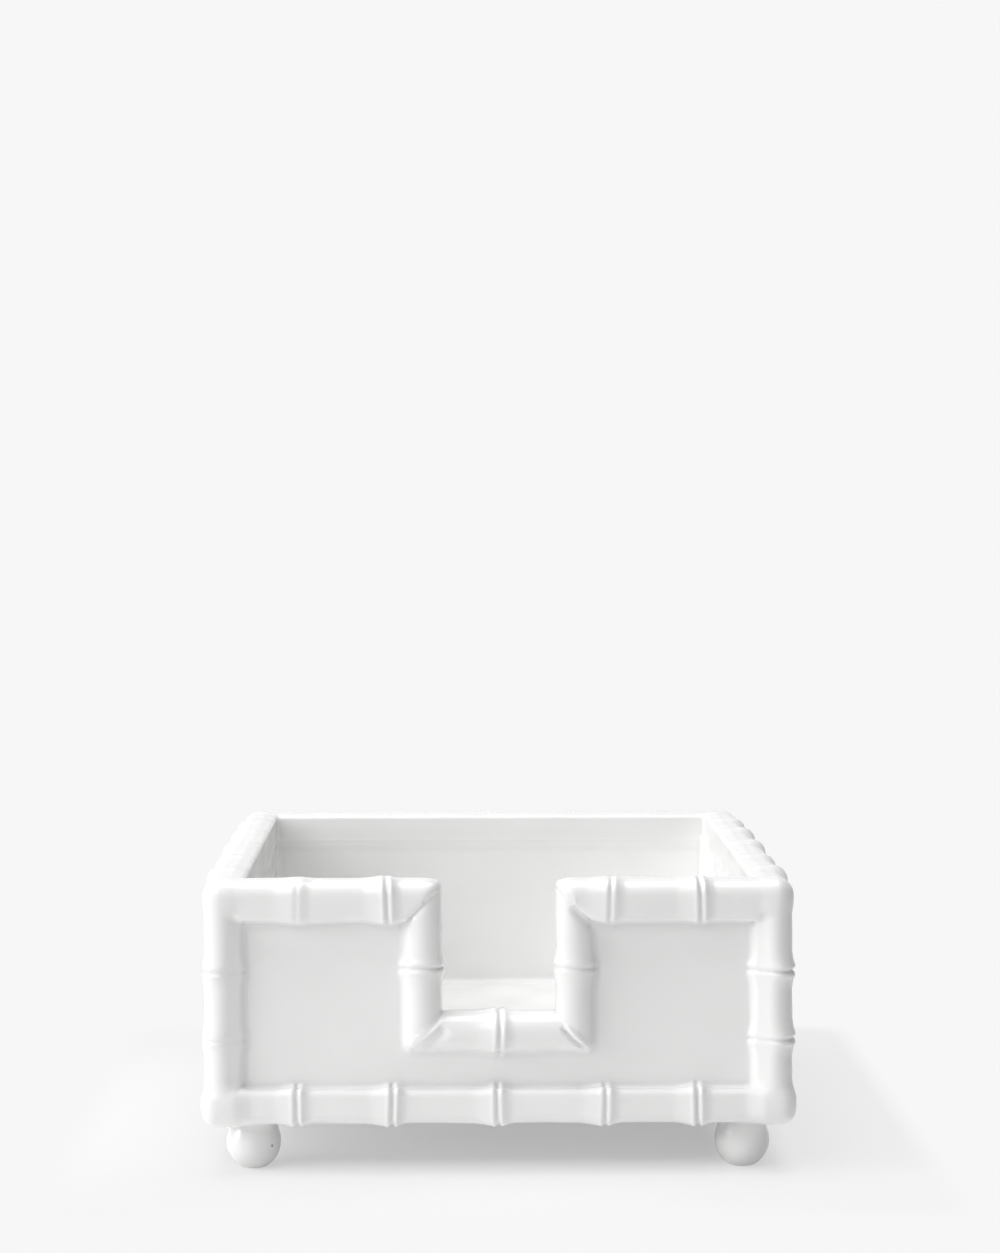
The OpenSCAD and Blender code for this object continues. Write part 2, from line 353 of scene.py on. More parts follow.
class Cane:
    """A bamboo cane along u from its origin. v points into the tray, and w is square to both."""

    def __init__(self, name, origin, u, v, w, length, r, nodes, ends):
        self.name = name
        self.marks = MARKS.get(name, HIDDEN_MARKS)
        self.origin = np.array(origin, float)
        self.dirs = [np.array(d, float) for d in (u, v, w)]
        self.length = length
        self.r = r
        self.nodes = nodes
        self.ends = ends

    def local(self, p):
        """Points of the holder in the cane's own directions, each of which lies along x, y or z."""
        rel = [p[i] - self.origin[i] for i in range(3)]
        out = []
        for d in self.dirs:
            i = int(np.argmax(np.abs(d)))
            out.append(rel[i] * d[i])
        return out

    def world(self, q):
        return Vector(self.origin + sum(q[i] * self.dirs[i] for i in range(3)))

    def radius(self, s, v, w):
        """Radius along the cane: each node swells and has a groove with a fine ridge on each side."""
        outside, cut, open_share = 1.0, 1.0, 1.0
        if self.name.startswith("top"):
            side = v - FADE_LEAN * w if self.name.endswith("back") else v - FADE_AT_SHARE * self.r
            outside = ramp(0.5 - side / (FADE_LONG_SHARE * self.r))
            outer = ramp(-OUTER_RATE * v / self.r)
            cut = CROWN_CUT_SHARE + (1 - CROWN_CUT_SHARE) * outer
            if "front" not in self.name:
                open_share = CROWN_RING_SHARE + (1 - CROWN_RING_SHARE) * outer
        relief = 0.0
        if self.name.startswith("corner_post"):
            relief = (LOW_R - self.r) * ramp(1.0 - s / POST_FOOT)
        for index, place in enumerate(self.nodes):
            mark = self.marks[index % len(self.marks)] * open_share
            slope = RING_SLOPE * math.sin(SLOPE_BY_NODE * index + SLOPE_BY_LENGTH * self.length)
            t = s + slope * v - SLOPE_ACROSS_SHARE * slope * w - place
            reach = SWELL_REACH * (1.0 - SWELL_LEAN * np.sign(t) * self.dirs[0][0])
            swell = np.cos(ramp(np.abs(t) / reach) * math.pi) * 0.5 + 0.5
            ridges = bump((t - RIDGE_AT) / RIDGE_WIDTH) + bump((t + RIDGE_AT) / RIDGE_WIDTH)
            ring = RIDGE_RISE * ridges - GROOVE_DEPTH * cut * bump(t / GROOVE_WIDTH)
            kept = SWELL_LEAST_SHARE + (1 - SWELL_LEAST_SHARE) * mark
            relief = relief + NODE_RISE * kept * swell + mark * ring
        return self.r + outside * relief

    def post_section(self, v, w, beyond, r):
        """Section of a corner post: a round outer crest and two faces that slope in from it."""
        a, b = v + r - CREST_R, w + r - CREST_R
        far, near = np.maximum(a, b), np.minimum(a, b)
        slope, level = math.sin(FACE_SLOPE), math.cos(FACE_SLOPE)
        face = np.where(level * far + slope * near > 0, slope * far - level * near, np.hypot(a, b))
        outside = np.hypot(np.maximum(face, 0.0), beyond)
        wedge = np.where(outside > 0, outside, face) - CREST_R
        return round_max(wedge, np.maximum(v, w) - r, INNER_EDGE)

    def section(self, v, w, beyond, r, near_corner):
        """Distance across the cane, whose section each kind of cane has for itself."""
        if self.name.startswith("corner_post"):
            return self.post_section(v, w, beyond, r)
        free, top = 1, r
        if self.name.startswith("notch"):
            bar = squarish(v, w, beyond, NOTCH_SQUARE) - r
        else:
            low = self.name.startswith("bottom")
            edges = LOW_EDGES if low else TOP_EDGES
            edge = np.where(w < 0, edges[0], edges[1])
            edge = edge + near_corner * (max(edges) - edge)
            if low:
                return rounded_box((v, w + LOW_TOP / 2, beyond), (r, r - LOW_TOP / 2, r), edge)
            bar = rounded_box((v, w, beyond), (r, r, r), edge)
            free, top = -1, r - CROWN
        offsets = (v - LIP / 2, w - free * (top - LIP_DOWN) / 2, beyond)
        lip = rounded_box(offsets, (LIP / 2, (top + LIP_DOWN) / 2, LIP_EDGE), LIP_EDGE)
        return soft_min(round_max(bar, v - LIP, LIP_EDGE), lip, LIP_BLEND)

    def distance(self, p):
        """Distance to the cane, which is blunt at a corner and goes round its elbow at a mitre."""
        u, v, w = self.local(p)
        s = u
        if self.ends[0] == "corner":
            s = np.maximum(s, 0.0)
        if self.ends[1] == "corner":
            s = np.minimum(s, self.length)
        if self.name.startswith("top"):
            v = v - RAIL_LEAN * w * ramp(-v / self.r)
        near_corner, elbow, across = 0.0, 0.0, w
        for end, inward in zip(self.ends, (u, self.length - u)):
            if end == "corner":
                near_corner = near_corner + ramp(1.0 - inward / CORNER_REACH)
                continue
            past = np.maximum(-inward, 0.0)
            turned = past**2 / np.maximum(w**2 + past**2, TINY)
            next_r = TOP_R if end == -1 else NOTCH_R
            elbow = elbow + turned * (next_r - self.r)
            reach = np.abs(across) ** ELBOW_POWER + past**ELBOW_POWER
            across = np.copysign(reach ** (1 / ELBOW_POWER), w)
        d = self.section(v, across, u - s, self.radius(s, v, across) + elbow, near_corner)
        for end, inward in zip(self.ends, (u, self.length - u)):
            if end != "corner":
                d = np.maximum(d, (end * w - inward) / DIAGONAL - MITRE_LAP)
        return d


def from_middle(shares, length):
    return [length / 2 + s * length / 2 for s in shares]


def make_canes():
    """All sixteen canes. An end is "corner", or 1 or -1 for the side that the next cane turns to."""
    canes = []
    both = ("corner", "corner")
    full = 2 * AXIS
    long_nodes = from_middle(LONG_RAIL_SHARES, full)
    for level, z, up, r in (("top", TOP_Z, -1, TOP_R), ("bottom", LOW_Z, 1, LOW_R)):
        rails = [
            ("front", (-AXIS, -AXIS, z), (1, 0, 0), (0, 1, 0)),
            ("back", (-AXIS, AXIS, z), (1, 0, 0), (0, -1, 0)),
            ("left", (-AXIS, -AXIS, z), (0, 1, 0), (1, 0, 0)),
            ("right", (AXIS, -AXIS, z), (0, 1, 0), (-1, 0, 0)),
        ]
        for side, origin, u, v in rails if level == "bottom" else rails[1:]:
            canes.append(Cane(level + "_rail_" + side, origin, u, v, (0, 0, up), full, r, long_nodes, both))
    short = AXIS - STILE_X
    short_nodes = [AXIS * (1 - s) for s in SHORT_RAIL_SHARES]
    rise = TOP_Z - LOW_Z
    post_nodes = [rise * s for s in POST_SHARES]
    drop = TOP_Z - SILL_Z
    for side, word in ((-1, "left"), (1, "right")):
        canes.append(Cane("top_rail_front_" + word, (side * AXIS, -AXIS, TOP_Z), (-side, 0, 0), (0, 1, 0),
                          (0, 0, -1), short, TOP_R, short_nodes, ("corner", 1)))
        canes.append(Cane("notch_stile_" + word, (side * STILE_X, -AXIS, SILL_Z), (0, 0, 1), (0, 1, 0),
                          (-side, 0, 0), drop, NOTCH_R, [drop * s for s in STILE_SHARES], (1, -1)))
        for y, end in ((-1, "front"), (1, "back")):
            canes.append(Cane("corner_post_" + end + "_" + word, (side * AXIS, y * AXIS, LOW_Z), (0, 0, 1),
                              (-side, 0, 0), (0, -y, 0), rise, POST_R, post_nodes, both))
    canes.append(Cane("notch_sill", (-STILE_X, -AXIS, SILL_Z), (1, 0, 0), (0, 1, 0), (0, 0, 1),
                      NOTCH_W, NOTCH_R, from_middle(SILL_SHARES, NOTCH_W), (1, 1)))
    return canes


CANES = {c.name: c for c in make_canes()}


def wave(a, b, shape):
    per_a, per_b, start = shape
    return np.sin(per_a * a + per_b * b + start)


def waviness(p):
    """Slow unevenness of hand-rolled clay under glaze, about a tenth of a millimetre."""
    x, y, z = p
    return WAVE_RISE * wave(x, z, WAVE_X) * wave(y, z, WAVE_Y)


def notch_box(half, sill, top):
    """Corners of a box through the front wall about its notch, from one height up to another."""
    return (-half, -SLAB - FAR, sill), (half, -INNER + FAR, top)


WALL_NOTCH = notch_box(STILE_X + EDGE_SHORT, SILL_Z - EDGE_SHORT, WALL_TOP + FAR)


def slab_distance(p):
    front_wall = np.maximum(box_distance(p, *SLABS["front_wall"]), -box_distance(p, *WALL_NOTCH))
    d = soft_min(box_distance(p, *SLABS["floor_slab"]), front_wall, SLAB_BLEND)
    for name in ("back_wall", "left_wall", "right_wall"):
        d = soft_min(d, box_distance(p, *SLABS[name]), SLAB_BLEND)
    return d


def elbow_relief(p):
    """Cuts and beads along the mitres at the front of the notch's frame, deep where positive."""
    front = ramp((-AXIS + ELBOW_BEHIND - p[1]) / ELBOW_BEHIND)
    relief = 0.0
    for (side, end), ((start, stop), marks) in ELBOW_MARKS.items():
        out = side * p[0] - STILE_X
        up = p[2] - TOP_Z if end == "top" else p[2] - SILL_Z
        across = (out + up) / DIAGONAL if end == "top" else -(out + up) / DIAGONAL
        along = (out - up) / DIAGONAL
        held = front * ramp((along - start) / ELBOW_FADE) * ramp((stop - along) / ELBOW_FADE)
        for depth, at, width in marks:
            relief = relief + held * depth * bump((across - at) / width)
    return relief


def knob_distance(p):
    """Distance to the blunt ends of the canes at the bottom corners."""
    offsets = (np.abs(p[0]) - AXIS, np.abs(p[1]) - AXIS, p[2] - LOW_Z)
    return rounded_box(offsets, (LOW_R + KNOB_OUT, LOW_R + KNOB_OUT, LOW_R - LOW_TOP), KNOB_EDGE)


def cane_distance(p, lo, hi):
    """Distance to the canes whose reach meets the box from lo to hi."""
    d = None
    for cane in CANES.values():
        tip = cane.world((cane.length, 0, 0))
        reach_lo = np.minimum(cane.origin, tip) - FAR
        reach_hi = np.maximum(cane.origin, tip) + FAR
        if np.all(reach_lo < hi) and np.all(reach_hi > lo):
            one = cane.distance(p)
            blend = MITRE_BLEND if cane.name.startswith("notch") else CORNER_BLEND
            d = one if d is None else soft_min(d, one, blend)
    if d is None:
        return np.full(np.broadcast_shapes(*(c.shape for c in p)), FAR)
    if lo[2] < LOW_Z + FAR:
        d = soft_min(d, knob_distance(p), KNOB_BLEND)
    if lo[1] < 0:
        d = d + elbow_relief(p)
    return d


def foot_distance(p, at):
    """Distance to a ball foot with a flat sole and a neck that goes up into the floor."""
    x, y, z = p[0] - at[0], p[1] - at[1], p[2]
    ball_z = math.sqrt(FOOT_R**2 - FOOT_FLAT_R**2)
    ball = ball_distance(p, (at[0], at[1], ball_z), FOOT_R)
    around = np.sqrt(x * x + y * y) - NECK_R + NECK_THIN
    neck = np.maximum(around, np.maximum(ball_z - z, z - FLOOR_TOP + NECK_SUNK))
    foot = soft_max(soft_min(ball, neck, NECK_BLEND), -z, SOLE_BLEND)
    if at[0] > 0 > at[1]:
        foot = soft_min(foot, ball_distance(p, SLIP_DROP, SLIP_DROP_R), SLIP_BLEND)
    return foot


def near_foot(at, lo, hi):
    beside = all(lo[i] < at[i] + FAR and hi[i] > at[i] - FAR for i in range(2))
    return beside and lo[2] < BASE_Z


def body_distance(p, lo, hi):
    """The whole holder near the box from lo to hi, as one glazed surface."""
    d = soft_min(slab_distance(p), cane_distance(p, lo, hi), CANE_BLEND)
    for at in FEET.values():
        if near_foot(at, lo, hi):
            d = soft_min(d, foot_distance(p, at), FOOT_BLEND)
    return d + waviness(p) * ramp(p[2] / WAVE_START)


def surface_net(values, lo, step):
    """Closed quad mesh of the zero surface of a grid of distances."""
    inside = values < 0
    cells = np.zeros([n - 1 for n in values.shape], np.int8)
    corners = [(i, j, k) for i in (0, 1) for j in (0, 1) for k in (0, 1)]
    shape = cells.shape
    for i, j, k in corners:
        cells += inside[i:i + shape[0], j:j + shape[1], k:k + shape[2]]
    at = np.argwhere((cells > 0) & (cells < len(corners)))
    number = np.full(shape, -1, np.int32)
    number[tuple(at.T)] = np.arange(len(at))
    f = np.stack([values[at[:, 0] + i, at[:, 1] + j, at[:, 2] + k] for i, j, k in corners], 1)
    total = np.zeros((len(at), 3))
    count = np.zeros(len(at))
    for a, ca in enumerate(corners):
        for b, cb in enumerate(corners):
            if a < b and sum(abs(ca[i] - cb[i]) for i in range(3)) == 1:
                cross = (f[:, a] < 0) != (f[:, b] < 0)
                t = f[cross, a] / (f[cross, a] - f[cross, b])
                total[cross] += np.array(ca) + t[:, None] * (np.array(cb) - np.array(ca))
                count[cross] += 1
    verts = (at + total / count[:, None]) * step + np.array(lo)
    quads = []
    for axis in range(3):
        b, c = (axis + 1) % 3, (axis + 2) % 3
        first = np.take(inside, range(values.shape[axis] - 1), axis)
        second = np.take(inside, range(1, values.shape[axis]), axis)
        for sign, change in ((1, first & ~second), (-1, ~first & second)):
            e = np.argwhere(change)
            for across in (b, c):
                e = e[(e[:, across] > 0) & (e[:, across] < values.shape[across] - 1)]
            ring = []
            for db, dc in ((-1, -1), (0, -1), (0, 0), (-1, 0)):
                q = e.copy()
                q[:, b] += db
                q[:, c] += dc
                ring.append(number[tuple(q.T)])
            ring = np.stack(ring, 1)
            quads.append(ring if sign == 1 else ring[:, ::-1])
    return verts, np.concatenate(quads)


def gradient(fn, points):
    out = np.zeros_like(points)
    for i in range(3):
        step = np.zeros(3)
        step[i] = GRADIENT_STEP
        out[:, i] = fn((points + step).T) - fn((points - step).T)
    return out / (2 * GRADIENT_STEP)


def link(name, data):
    """A new object of the scene with the given data."""
    thing = bpy.data.objects.new(name, data)
    bpy.context.scene.collection.objects.link(thing)
    return thing


def quad_object(name, verts, quads):
    """An object from vertices in millimetres and rows of four of their numbers."""
    mesh = bpy.data.meshes.new(name)
    mesh.vertices.add(len(verts))
    mesh.vertices.foreach_set("co", (verts * MM).astype(np.float32).ravel())
    mesh.loops.add(quads.size)
    mesh.loops.foreach_set("vertex_index", quads.astype(np.int32).ravel())
    mesh.polygons.add(len(quads))
    mesh.polygons.foreach_set("loop_start", np.arange(0, quads.size, quads.shape[1], dtype=np.int32))
    mesh.update(calc_edges=True)
    mesh.validate()
    return link(name, mesh)


def window_mesh(name, lo, hi, step):
    """The holder's surface inside a box, as a closed object, and the distance that it was made from."""
    axes = [np.arange(lo[i], hi[i] + step, step, dtype=np.float32) for i in range(3)]
    p = np.meshgrid(*axes, indexing="ij", sparse=True)

    def field(q):
        return body_distance(q, lo, hi)

    edge = box_distance(p, lo + CUT_STEPS * step, hi - CUT_STEPS * step)
    verts, quads = surface_net(np.maximum(field(p), edge).astype(np.float64), lo, step)
    free = box_distance(verts.T, lo + FREE_STEPS * step, hi - FREE_STEPS * step) < 0
    for _ in range(DRAWS):
        near = verts[free]
        slope = gradient(field, near)
        off = np.clip(field(near.T), -step, step)
        verts[free] = near - (off / np.maximum((slope**2).sum(1), LEAST_SLOPE))[:, None] * slope
    return quad_object(name, verts, quads), field


def solid_between(name, rings):
    """A closed cutter in metres between two rings of points in millimetres, its faces turned outwards."""
    bm = bmesh.new()
    rows = [[bm.verts.new(point) for point in ring] for ring in rings]
    for row in rows:
        bm.faces.new(row)
    count = len(rows[0])
    for i in range(count):
        j = (i + 1) % count
        bm.faces.new((rows[0][i], rows[0][j], rows[1][j], rows[1][i]))
    bmesh.ops.recalc_face_normals(bm, faces=bm.faces)
    bmesh.ops.scale(bm, vec=(MM, MM, MM), verts=bm.verts)
    mesh = bpy.data.meshes.new(name)
    bm.to_mesh(mesh)
    bm.free()
    return link(name, mesh)


def prism(name, outline, lo, hi, place):
    """Prism over a flat outline. place turns (a, b, height) into a point of the holder."""
    return solid_between(name, [[place(a, b, h) for a, b in outline] for h in (lo, hi)])


def block(name, lo, hi):
    outline = ((lo[0], lo[1]), (hi[0], lo[1]), (hi[0], hi[1]), (lo[0], hi[1]))
    return prism(name, outline, lo[2], hi[2], lambda a, b, h: (a, b, h))


def frustum(name, axis, sign, at, rect, depth):
    """Skin over a flat face: a slab that draws in at 45 degrees as it leaves the face."""
    others = [i for i in range(3) if i != axis]
    (a0, b0), (a1, b1) = rect
    rings = []
    for off in (0.0, depth):
        ring = []
        left, right, low, high = a0 + off, a1 - off, b0 + off, b1 - off
        for a, b in ((left, low), (right, low), (right, high), (left, high)):
            point = [0.0, 0.0, 0.0]
            point[axis] = at + sign * off
            point[others[0]] = a
            point[others[1]] = b
            ring.append(point)
        rings.append(ring)
    return solid_between(name, rings)


def apply_modifiers(target):
    graph = bpy.context.evaluated_depsgraph_get()
    mesh = bpy.data.meshes.new_from_object(target.evaluated_get(graph))
    old = target.data
    target.modifiers.clear()
    target.data = mesh
    bpy.data.meshes.remove(old)


def combine(target, operation, *tools):
    """Booleans of closed meshes. Tools made for this one cut are removed after it."""
    for tool in tools:
        modifier = target.modifiers.new("cut", "BOOLEAN")
        modifier.operation = operation
        modifier.solver = "MANIFOLD"
        modifier.object = tool
    apply_modifiers(target)
    for tool in tools:
        if tool.name.startswith("tool"):
            bpy.data.objects.remove(tool)
    return target


def foot_room(at, name):
    """Room of a foot's piece: a round column under the floor, less the hearts of the rails above it."""
    turns = [2 * math.pi * i / FOOT_SIDES for i in range(FOOT_SIDES)]
    reach = FOOT_R + FOOT_ROOM
    ring = [(at[0] + reach * math.cos(t), at[1] + reach * math.sin(t)) for t in turns]
    column = prism(name, ring, -UNDER, BASE_Z, lambda a, b, h: (a, b, h))
    heart = LOW_R - HEART_THIN
    disc = [(heart * math.cos(t), heart * math.sin(t)) for t in turns[::2]]
    sx, sy = math.copysign(AXIS, at[0]), math.copysign(AXIS, at[1])
    along_x = prism("tool_x", disc, -FAR - AXIS, FAR + AXIS, lambda a, b, h: (h, sy + a, LOW_Z + b))
    along_y = prism("tool_y", disc, -FAR - AXIS, FAR + AXIS, lambda a, b, h: (sx + a, h, LOW_Z + b))
    return combine(combine(column, "DIFFERENCE", along_x), "DIFFERENCE", along_y)


def band_outline(cane):
    """Outline across a cane of what its piece may take, clear of its neighbours."""
    if cane.name.startswith("notch"):
        return (-FAR, -BAND), (FAR, -BAND), (FAR, FAR), (-FAR, FAR)
    if cane.name.startswith("top"):
        return (-FAR, -FAR), (FAR, -FAR), (FAR, BAND), (-FAR, BAND)
    step = BASE_Z - LOW_Z if cane.name.startswith("bottom") else HEART
    return (-FAR, -FAR), (BAND, -FAR), (BAND, step), (HEART, step), (HEART, BAND), (-FAR, BAND)


def mitre(cane, sides, place, name):
    """Room between a cane's two ends, each square where its side is 0 and else at 45 degrees."""
    side_a, side_b = sides
    start = [side_a * t if side_a else -FAR for t in (-FAR, FAR)]
    stop = [cane.length - side_b * t if side_b else cane.length + FAR for t in (-FAR, FAR)]
    outline = ((start[0], -FAR), (stop[0], -FAR), (stop[1], FAR), (start[1], FAR))
    return prism(name, outline, -FAR_DOWN, FAR_DOWN, place)


def cane_room(cane, feet):
    """Room of a cane's piece: its band, between its mitres, clear of the slabs and the feet."""
    def endwise(v, w, u):
        return cane.world((u, v, w))

    def flatwise(u, v, w):
        return cane.world((u, v, w))

    def upright(u, w, v):
        return cane.world((u, v, w))

    room = prism("room_" + cane.name, band_outline(cane), -FAR, cane.length + FAR, endwise)
    flat = [1 if end == "corner" else 0 for end in cane.ends]
    elbows = [0 if end == "corner" else end for end in cane.ends]
    combine(room, "INTERSECT", mitre(cane, flat, flatwise, "tool_v"))
    combine(room, "INTERSECT", mitre(cane, elbows, upright, "tool_w"))
    for end, at, way in zip(cane.ends, (0.0, cane.length), (1, -1)):
        if end == "corner":
            out = way * FAR_OUT
            past = ((at - out, -FAR_OUT), (at + out, FAR_OUT), (at - out, FAR_OUT))
            combine(room, "DIFFERENCE", prism("tool_past", past, -FAR_DOWN, HEART, upright))
    for node in SLABS:
        combine(room, "DIFFERENCE", slab_block(node, "tool_" + node))
    if cane.name.startswith("bottom"):
        for foot in feet.values():
            combine(room, "DIFFERENCE", foot)
    return room


def slab_block(node, name):
    slab = block(name, *SLABS[node])
    if node == "front_wall":
        combine(slab, "DIFFERENCE", block("tool_notch", *WALL_NOTCH))
    return slab


def floor_room(room, edge, feet):
    """Room of the floor's piece: with skins over its top and, between the feet, over its underside."""
    under = block("tool_under", (-edge, -edge, BASE_Z - SKIN), (edge, edge, BASE_Z + SKIN))
    for foot in feet.values():
        combine(under, "DIFFERENCE", foot)
    top = frustum("tool_top", 2, 1, FLOOR_TOP, ((-INNER, -INNER), (INNER, INNER)), 2 * SKIN)
    return combine(room, "UNION", under, top)


def slab_room(node, feet):
    """Room of a slab's piece: the slab, with skins on its faces between the bands of the canes."""
    room = slab_block(node, "room_" + node)
    edge, low, high = AXIS - BAND, LOW_Z + BAND, TOP_Z - BAND
    if node == "floor_slab":
        return floor_room(room, edge, feet)
    axis = 0 if node in ("left_wall", "right_wall") else 1
    sign = 1 if node in ("front_wall", "left_wall") else -1
    outer_lo, outer_hi = [-edge, -edge, low], [edge, edge, high]
    outer_lo[axis] = -sign * SLAB - SKIN
    outer_hi[axis] = -sign * SLAB + SKIN
    outer = block("tool_outer", outer_lo, outer_hi)
    rect = ((-INNER, FLOOR_TOP), (INNER, BODY_H + FAR))
    inner = frustum("tool_inner", axis, sign, -sign * INNER, rect, 2 * SKIN)
    combine(inner, "INTERSECT", block("tool_cap", (-SLAB, -SLAB, 0.0), (SLAB, SLAB, high)))
    if node == "front_wall":
        gap = notch_box(STILE_X + BAND, SILL_Z - BAND, BODY_H + FAR)
        for skin in (outer, inner):
            combine(skin, "DIFFERENCE", block("tool_gap", *gap))
    return combine(room, "UNION", outer, inner)


def points_of(mesh):
    """The vertices of a mesh, in millimetres."""
    co = np.empty(len(mesh.vertices) * 3, np.float32)
    mesh.vertices.foreach_get("co", co)
    return co.reshape(-1, 3).astype(np.float64) / MM


def set_normals(piece, field):
    """Gives the glazed skin the exact surface's normals, so that neighbouring pieces shade as one glaze."""
    mesh = piece.data
    points = points_of(mesh)
    slope = gradient(field, points)
    slope /= np.maximum(np.linalg.norm(slope, axis=1), TINY)[:, None]
    on_skin = np.abs(field(points.T)) < SKIN_TOLERANCE
    loops = np.empty(len(mesh.loops), np.int32)
    mesh.loops.foreach_get("vertex_index", loops)
    totals = np.empty(len(mesh.polygons), np.int32)
    mesh.polygons.foreach_get("loop_total", totals)
    flat = np.empty(len(mesh.polygons) * 3, np.float32)
    mesh.polygons.foreach_get("normal", flat)
    face = np.repeat(np.arange(len(totals)), totals)
    facing = np.repeat(flat.reshape(-1, 3), totals, axis=0)
    agrees = (facing * slope[loops]).sum(1) > FACING
    bad = np.bincount(face, ~(on_skin[loops] & agrees), len(totals))
    skin = (bad == 0)[face]
    normals = np.where(skin[:, None], slope[loops], facing)
    mesh.polygons.foreach_set("use_smooth", np.ones(len(totals), bool))
    mesh.normals_split_custom_set(normals.tolist())
    mesh.update()


def mark_crease_shade(piece, field):
    """Marks where shade is painted into the glaze: 0 on swells and flats, up to 1 in a tight hollow."""
    mesh = piece.data
    points = points_of(mesh)
    bend = np.zeros(len(points))
    here = field(points.T)
    for i in range(3):
        step = np.zeros(3)
        step[i] = SHADE_REACH
        bend += field((points + step).T) + field((points - step).T) - 2 * here
    # Share of painted shade: grows with how tightly the surface bends inwards
    shade_share = ramp(-bend / SHADE_REACH**2 / SHADE_FULL)
    mesh.attributes.new(CREASE_SHADE_MARK, "FLOAT", "POINT").data.foreach_set("value", shade_share.astype(np.float32))


def drop_crumbs(piece):
    """Removes the specks that a cut close beside a face leaves apart from the piece."""
    bm = bmesh.new()
    bm.from_mesh(piece.data)
    left = set(bm.verts)
    crumbs = []
    while left:
        front = [left.pop()]
        part = list(front)
        while front:
            for edge in front.pop().link_edges:
                for vertex in edge.verts:
                    if vertex in left:
                        left.discard(vertex)
                        front.append(vertex)
                        part.append(vertex)
        if len(part) < CRUMB:
            crumbs += part
    bmesh.ops.delete(bm, geom=crumbs, context="VERTS")
    bm.to_mesh(piece.data)
    bm.free()


def make_piece(node, room, step):
    """The visible piece of one node: the glazed surface of the whole holder, cut to that node's room."""
    corners = np.array([tuple(c) for c in room.bound_box]) / MM
    margin = ROOM_STEPS * step
    lo = np.maximum(corners.min(0), BODY_LO) - margin
    hi = np.minimum(corners.max(0), BODY_HI) + margin
    piece, field = window_mesh("glazed_" + node, lo, hi, step)
    combine(piece, "INTERSECT", room)
    drop_crumbs(piece)
    set_normals(piece, field)
    mark_crease_shade(piece, field)
    return piece


def make_body():
    feet = {name: foot_room(at, "room_" + name) for name, at in FEET.items()}
    rooms = {name: slab_room(name, feet) for name in SLABS}
    rooms.update({name: cane_room(cane, feet) for name, cane in CANES.items()})
    rooms.update(feet)
    pieces = {}
    for node, room in rooms.items():
        step = SLAB_STEP if node in SLABS else CANE_STEP
        pieces[node] = make_piece(node, room, step)
    for room in rooms.values():
        bpy.data.objects.remove(room)
    return pieces


def nodes_of(material):
    material.use_nodes = True
    tree = material.node_tree
    tree.nodes.clear()
    return tree


def feed(tree, socket, value):
    """Sets a socket to a value, or links it to an output."""
    if isinstance(value, bpy.types.NodeSocket):
        tree.links.new(value, socket)
    else:
        socket.default_value = value


def add(tree, kind, inputs=(), **settings):
    """A node with its settings and inputs. An input is a value, or an output to link to."""
    node = tree.nodes.new(kind)
    for key, value in settings.items():
        setattr(node, key, value)
    for key, value in dict(inputs).items():
        feed(tree, node.inputs[key], value)
    return node


def maths(tree, operation, *values):
    return add(tree, "ShaderNodeMath", dict(enumerate(values)), operation=operation).outputs[0]


def noise(tree, at, kind):
    per_metre, detail = kind
    inputs = {"Vector": at, "Scale": per_metre, "Detail": detail}
    return add(tree, "ShaderNodeTexNoise", inputs).outputs["Fac"]


def spread(tree, value, low, high, to_low, to_high):
    """Maps a value from one range to another, and holds it there."""
    inputs = {"Value": value, "From Min": low, "From Max": high, "To Min": to_low, "To Max": to_high}
    return add(tree, "ShaderNodeMapRange", inputs).outputs["Result"]


def blend_colours(tree, share, first, second):
    mix = add(tree, "ShaderNodeMix", data_type="RGBA")
    for socket, value in ((mix.inputs[0], share), (mix.inputs[6], first), (mix.inputs[7], second)):
        feed(tree, socket, value)
    return mix.outputs[2]


def embossed(tree, height, strength, distance, under=None):
    """Normals of a surface with a relief of this height in millimetres, which may lie over another."""
    inputs = {"Height": height, "Strength": strength, "Distance": distance * MM}
    if under:
        inputs["Normal"] = under
    return add(tree, "ShaderNodeBump", inputs).outputs["Normal"]


def near_point(tree, at, point, inner, outer):
    """1 within inner of a point of the holder, 0 beyond outer, in millimetres."""
    centre = [c * MM for c in point]
    gap = add(tree, "ShaderNodeVectorMath", {0: at, 1: centre}, operation="DISTANCE").outputs["Value"]
    return spread(tree, gap, inner * MM, outer * MM, 1.0, 0.0)


